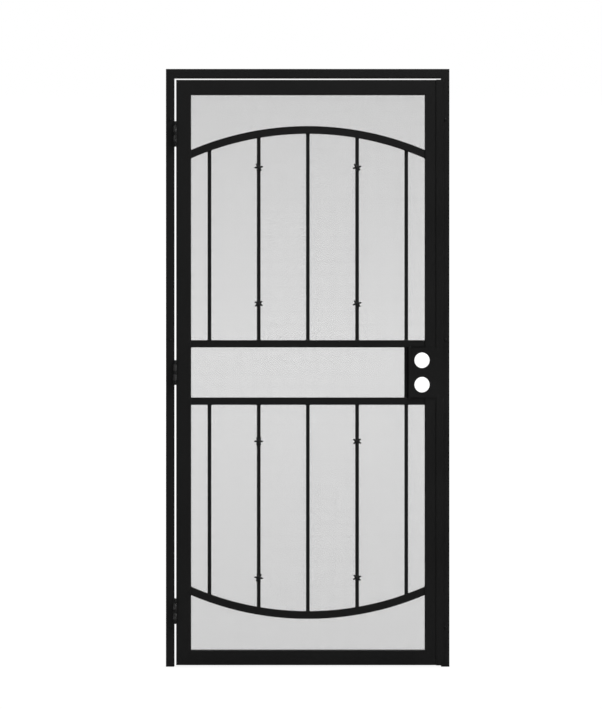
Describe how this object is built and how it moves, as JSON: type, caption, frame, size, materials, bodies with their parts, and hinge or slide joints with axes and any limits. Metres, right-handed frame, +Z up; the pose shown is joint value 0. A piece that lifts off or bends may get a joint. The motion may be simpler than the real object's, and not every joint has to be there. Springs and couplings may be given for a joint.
{
  "type": "security door",
  "caption": "Steel security door: a swinging leaf with an arched picket grille, insect screen and bored lock box, hung on hinges in its own tube frame.",
  "frame": {"origin": "on the back face of the hinge jamb, on the jamb's centre line, at its foot", "axes": "+Z up along the jamb, +X across the doorway to the strike jamb, +Y inward to the wall that the frame is screwed to; the leaf swings out towards -Y"},
  "size_m": [0.9848, 0.0565, 2.0762],
  "materials": {
    "frame": "satin black powder coat",
    "leaf": "satin black powder coat",
    "grille": "satin black powder coat",
    "star": "satin black powder coat on a casting",
    "hinge": "satin black powder coat",
    "hinge_pin": "satin black powder coat",
    "screen_frame": "black painted aluminium",
    "screen_wire": "black coated wire"
  },
  "bodies": {
    "frame": {"hinge_jamb": "frame", "strike_jamb": "frame", "header": "frame", "bottom_jamb_hinge": "hinge", "bottom_hinge_pin": "hinge_pin", "middle_jamb_hinge": "hinge", "middle_hinge_pin": "hinge_pin", "top_jamb_hinge": "hinge", "top_hinge_pin": "hinge_pin"},
    "leaf": {"hinge_stile": "leaf", "upper_lock_stile": "leaf", "lower_lock_stile": "leaf", "top_rail": "leaf", "bottom_rail": "leaf", "upper_middle_rail": "grille", "lower_middle_rail": "grille", "top_arch": "grille", "bottom_arch": "grille", "upper_picket_1": "grille", "lower_picket_1": "grille", "upper_picket_2": "grille", "lower_picket_2": "grille", "upper_picket_3": "grille", "lower_picket_3": "grille", "upper_picket_4": "grille", "lower_picket_4": "grille", "upper_picket_5": "grille", "lower_picket_5": "grille", "lock_picket": "grille", "low_star_2": "star", "lower_middle_star_2": "star", "upper_middle_star_2": "star", "high_star_2": "star", "low_star_4": "star", "lower_middle_star_4": "star", "upper_middle_star_4": "star", "high_star_4": "star", "lock_box": "leaf", "lower_lock_strip": "leaf", "upper_lock_strip": "leaf", "bottom_leaf_hinge": "hinge", "middle_leaf_hinge": "hinge", "top_leaf_hinge": "hinge", "screen_frame": "screen_frame", "screen": "screen_wire"}
  },
  "joints": [
    {"name": "leaf_swing", "type": "hinge", "parent": "frame", "child": "leaf", "pos_m": [0.01795, -0.04979, 1.0218], "axis": [0, 0, -1], "range_deg": [0, 170]}
  ]
}
